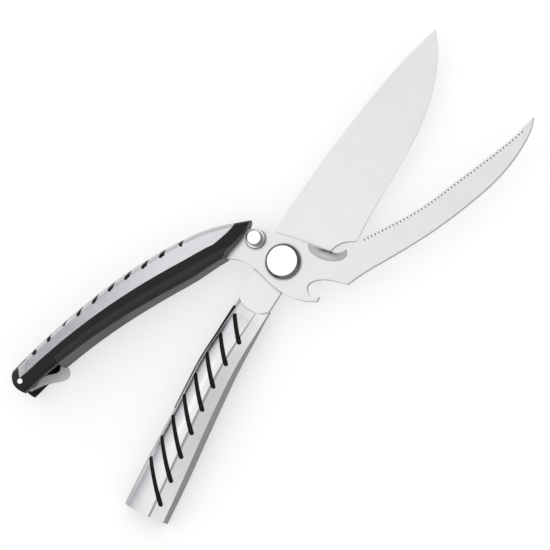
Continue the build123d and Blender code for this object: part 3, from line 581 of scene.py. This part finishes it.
class Material:
    """A node material with helpers for the few nodes that every finish here uses."""

    def __init__(self, name, **values):
        self.material = bpy.data.materials.new(name)
        self.material.use_nodes = True
        self.tree = self.material.node_tree
        self.shader = self.tree.nodes["Principled BSDF"]
        for socket, value in values.items():
            self.shader.inputs[socket.replace("_", " ")].default_value = value

    def node(self, kind, **settings):
        """A new node with its settings."""
        made = self.tree.nodes.new(kind)
        for name, value in settings.items():
            setattr(made, name, value)
        return made

    def link(self, source, target):
        """A link from an output to an input."""
        self.tree.links.new(source, target)

    def grain(self, scale, detail, turn=0.0):
        """Noise over the object's own place, stretched by a scale for each axis."""
        place = self.node("ShaderNodeTexCoord")
        turned = self.node("ShaderNodeMapping", vector_type="TEXTURE")
        turned.inputs["Rotation"].default_value = (0, 0, turn)
        stretched = self.node("ShaderNodeMapping")
        stretched.inputs["Scale"].default_value = scale
        noise = self.node("ShaderNodeTexNoise")
        noise.inputs["Scale"].default_value = 1.0
        noise.inputs["Detail"].default_value = detail
        noise.inputs["Roughness"].default_value = NOISE_ROUGHNESS
        self.link(place.outputs["Object"], turned.inputs["Vector"])
        self.link(turned.outputs["Vector"], stretched.inputs["Vector"])
        self.link(stretched.outputs["Vector"], noise.inputs["Vector"])
        return noise.outputs["Fac"]

    def spread(self, source, low, high, span=NOISE_RANGE):
        """A value's span spread over a range of values."""
        ranged = self.node("ShaderNodeMapRange")
        ranged.inputs["From Min"].default_value = span[0]
        ranged.inputs["From Max"].default_value = span[1]
        ranged.inputs["To Min"].default_value = low
        ranged.inputs["To Max"].default_value = high
        self.link(source, ranged.inputs["Value"])
        return ranged.outputs["Result"]

    def colors(self, source, dark, light):
        """Base colour from dark to light over the span of some noise."""
        ramp = self.node("ShaderNodeValToRGB")
        for stop, position, shade in zip(ramp.color_ramp.elements, NOISE_RANGE, (dark, light)):
            stop.position = position
            stop.color = (*shade, 1)
        self.link(source, ramp.inputs["Fac"])
        self.link(ramp.outputs["Color"], self.shader.inputs["Base Color"])

    def rough(self, source, middle, offsets):
        """Roughness that varies with some noise around a middle value."""
        low, high = offsets
        result = self.spread(source, middle + low, middle + high)
        self.link(result, self.shader.inputs["Roughness"])

    def bump(self, source, height, strength=1.0, rounding=0.0):
        """Relief of a given height, on edges rounded for the light."""
        bumped = self.node("ShaderNodeBump")
        bumped.inputs["Distance"].default_value = height
        bumped.inputs["Strength"].default_value = strength
        self.link(source, bumped.inputs["Height"])
        if rounding:
            rounded = self.node("ShaderNodeBevel", samples=ROUNDING_SAMPLES)
            rounded.inputs["Radius"].default_value = rounding
            self.link(rounded.outputs["Normal"], bumped.inputs["Normal"])
        self.link(bumped.outputs["Normal"], self.shader.inputs["Normal"])

    def darken(self, source, share, span):
        """Base colour scaled from a share up to whole over the span of a value."""
        scaled = self.node("ShaderNodeVectorMath", operation="SCALE")
        base = self.shader.inputs["Base Color"]
        self.link(base.links[0].from_socket, scaled.inputs["Vector"])
        self.link(self.spread(source, share, 1.0, span), scaled.inputs["Scale"])
        self.link(scaled.outputs["Vector"], base)

    def painted_wall_shade(self, share, slope):
        """Painted shade: steep faces take a darker tone than the flats, standing in for the darker
        surroundings they mirror.
        """
        geometry = self.node("ShaderNodeNewGeometry")
        parts = self.node("ShaderNodeSeparateXYZ")
        flatness = self.node("ShaderNodeMath", operation="ABSOLUTE")
        self.link(geometry.outputs["Normal"], parts.inputs["Vector"])
        self.link(parts.outputs["Z"], flatness.inputs[0])
        self.darken(flatness.outputs[0], share, slope)

    def painted_corner_shade(self):
        """Painted shade: inner corners take a darker tone from ambient occlusion, standing in for
        the shade that falls there.
        """
        openness = self.node("ShaderNodeAmbientOcclusion", samples=CORNER_SAMPLES)
        openness.inputs["Distance"].default_value = CORNER_REACH
        self.darken(openness.outputs["AO"], CORNER_SHARE, CORNER_RANGE)


def brushed_steel(name, shade, heading, rough, wall_share, slope):
    """Steel with a drawn grain along a direction, faint patches, and painted shade on its steep
    walls and in its inner corners.
    """
    made = Material(name, Metallic=1.0)
    lines = made.grain(BRUSHED_LINES, BRUSHED_LINES_DETAIL, heading)
    patches = made.grain(BRUSHED_PATCHES, BRUSHED_PATCHES_DETAIL, heading)
    mixed = made.node("ShaderNodeMix")
    mixed.inputs["Factor"].default_value = BRUSHED_PATCHES_SHARE
    made.link(lines, mixed.inputs["A"])
    made.link(patches, mixed.inputs["B"])
    dark, light = [[min(tone * share, 1) for tone in shade] for share in BRUSHED_TONES]
    made.colors(mixed.outputs["Result"], dark, light)
    # Painted shade: steep walls darker than the flats
    made.painted_wall_shade(wall_share, slope)
    # Painted shade in inner corners, from ambient occlusion
    made.painted_corner_shade()
    made.rough(mixed.outputs["Result"], rough, BRUSHED_ROUGH_RANGE)
    made.bump(lines, BRUSHED_RELIEF, rounding=BRUSHED_ROUNDING)
    return made.material


def polished_steel(name, shade, rough):
    """Turned and polished steel with fine wiping marks."""
    made = Material(name, Metallic=1.0)
    marks = made.grain(POLISHED_MARKS, POLISHED_MARKS_DETAIL)
    made.colors(marks, [tone * POLISHED_DARK for tone in shade], shade)
    # Painted shade: steep walls darker than the flats
    made.painted_wall_shade(POLISHED_WALL_SHARE, POLISHED_SLOPE)
    made.rough(marks, rough, POLISHED_ROUGH_RANGE)
    made.bump(marks, POLISHED_RELIEF, rounding=POLISHED_ROUNDING)
    return made.material


def cast_metal(name, shade, rough):
    """Fine cast and blasted metal."""
    made = Material(name, Metallic=CAST_METALLIC)
    fine = made.grain(CAST_GRAIN, CAST_GRAIN_DETAIL)
    made.colors(fine, [tone * CAST_DARK for tone in shade], shade)
    # Painted shade: steep walls darker than the flats
    made.painted_wall_shade(CAST_WALL_SHARE, CAST_SLOPE)
    made.rough(fine, rough, CAST_ROUGH_RANGE)
    made.bump(fine, CAST_RELIEF, rounding=CAST_ROUNDING)
    return made.material


def moulded_plastic(name, dark, light, rough, grain_height, shine):
    """Moulded plastic with a fine grain and faint shine where hands rub it."""
    made = Material(name, Specular_IOR_Level=shine)
    fine = made.grain(PLASTIC_GRAIN, PLASTIC_GRAIN_DETAIL)
    patches = made.grain(PLASTIC_PATCHES, PLASTIC_PATCHES_DETAIL)
    tones = [(tone, tone, tone * PLASTIC_BLUE) for tone in (dark, light)]
    made.colors(patches, *tones)
    made.rough(patches, rough, PLASTIC_ROUGH_RANGE)
    made.bump(fine, grain_height, rounding=PLASTIC_ROUNDING)
    return made.material


def make_materials():
    """Every finish that the nodes and the own pieces use."""
    made = {}
    for kind, finishes in (
        (brushed_steel, BRUSHED_STEELS),
        (polished_steel, POLISHED_STEELS),
        (cast_metal, CAST_METALS),
        (moulded_plastic, PLASTICS),
    ):
        for name, values in finishes.items():
            made[name] = kind(name, *values)
    return made


def finish_nodes():
    """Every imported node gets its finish."""
    for name, finish in NODE_FINISH.items():
        node = nodes[name]
        node.data.materials.clear()
        node.data.materials.append(materials[finish])


def shown_rays(tree, value=1.0):
    """A value for the rays that show the background: camera, glossy and transmission."""
    path = tree.nodes.new("ShaderNodeLightPath")
    seen = path.outputs["Is Camera Ray"]
    for ray in ("Is Glossy Ray", "Is Transmission Ray"):
        either = tree.nodes.new("ShaderNodeMath")
        either.operation = "MAXIMUM"
        tree.links.new(seen, either.inputs[0])
        tree.links.new(path.outputs[ray], either.inputs[1])
        seen = either.outputs[0]
    scaled = tree.nodes.new("ShaderNodeMath")
    scaled.operation = "MULTIPLY"
    scaled.inputs[1].default_value = value
    tree.links.new(seen, scaled.inputs[0])
    return scaled.outputs[0]


def make_floor():
    """Plain pale floor that the shears lie on."""
    build = bmesh.new()
    bmesh.ops.create_grid(build, x_segments=1, y_segments=1, size=FLOOR_HALF)
    floor = new_object("floor", new_mesh("floor", build))
    floor.location = (0, 0, cad_box[0][2] - FLOOR_DROP)
    made = Material("floor_paper", Roughness=FLOOR_ROUGH)
    fibre = made.grain(FLOOR_GRAIN, FLOOR_GRAIN_DETAIL)
    made.colors(fibre, *FLOOR_SHADES)
    made.bump(fibre, FLOOR_GRAIN_HEIGHT, strength=FLOOR_GRAIN_STRENGTH)
    made.shader.inputs["Emission Color"].default_value = WHITE
    made.link(shown_rays(made.tree, FLOOR_WHITE), made.shader.inputs["Emission Strength"])
    floor.data.materials.append(made.material)


def make_world():
    """Even white room, which the metal mirrors as white overhead and greyer at the horizon."""
    world = bpy.data.worlds.new("studio")
    bpy.context.scene.world = world
    world.use_nodes = True
    tree = world.node_tree
    lit = tree.nodes["Background"]
    lit.inputs["Color"].default_value = WHITE
    lit.inputs["Strength"].default_value = ROOM_LIGHT
    shown = tree.nodes.new("ShaderNodeBackground")
    place = tree.nodes.new("ShaderNodeTexCoord")
    parts = tree.nodes.new("ShaderNodeSeparateXYZ")
    ramp = tree.nodes.new("ShaderNodeValToRGB")
    horizon, ceiling = ramp.color_ramp.elements
    horizon.position = HORIZON_END
    horizon.color = (*HORIZON_SHADE, 1)
    ceiling.position = CEILING_START
    ceiling.color = WHITE
    tree.links.new(place.outputs["Generated"], parts.inputs["Vector"])
    tree.links.new(parts.outputs["Z"], ramp.inputs["Fac"])
    tree.links.new(ramp.outputs["Color"], shown.inputs["Color"])
    mix = tree.nodes.new("ShaderNodeMixShader")
    tree.links.new(shown_rays(tree), mix.inputs["Fac"])
    tree.links.new(lit.outputs["Background"], mix.inputs[1])
    tree.links.new(shown.outputs["Background"], mix.inputs[2])
    tree.links.new(mix.outputs["Shader"], tree.nodes["World Output"].inputs["Surface"])


def make_lamps():
    """Two large weak lamps that look at the pivot."""
    for name, place, size, power in LAMPS:
        data = bpy.data.lights.new(name, "AREA")
        data.shape = "DISK"
        data.size = size
        data.energy = power
        lamp = new_object(name, data)
        lamp.location = place
        lamp.rotation_euler = (-place).to_track_quat("-Z", "Y").to_euler()


make_camera()
materials = make_materials()
finish_nodes()
make_serrated_blade()
make_rib_ends()
make_cover_tip()
make_core_edge()
make_floor()
make_world()
make_lamps()
bpy.context.scene.view_settings.view_transform = "Standard"
